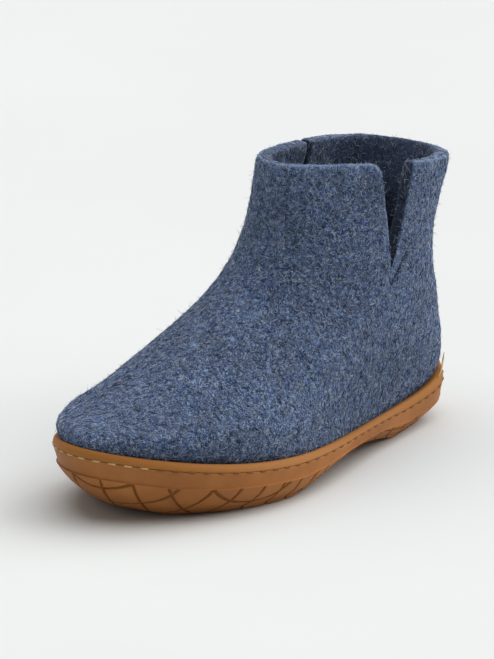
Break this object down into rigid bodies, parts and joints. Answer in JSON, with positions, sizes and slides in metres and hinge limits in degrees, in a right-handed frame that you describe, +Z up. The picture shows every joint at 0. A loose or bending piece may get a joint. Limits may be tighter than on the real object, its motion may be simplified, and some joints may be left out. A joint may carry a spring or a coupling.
{
  "type": "felt ankle slipper boot",
  "caption": "Left felt slipper boot with a hollow one-piece wool upper, slit collar, felt insole and moulded rubber cup sole, for wear indoors.",
  "frame": {"origin": "on the floor, under the middle of the shoe's box", "axes": "+Z up, toe towards -Y and heel towards +Y, outer side of the left foot towards +X"},
  "size_m": [0.1094, 0.266, 0.1548],
  "materials": {
    "felt": "blue-grey mottled felted wool, matt and hairy",
    "rubber": "honey-coloured gum rubber, satin",
    "insole_felt": "dark felted wool, matt"
  },
  "bodies": {
    "root": {"upper": "felt", "outsole": "rubber", "insole": "insole_felt"}
  },
  "joints": []
}
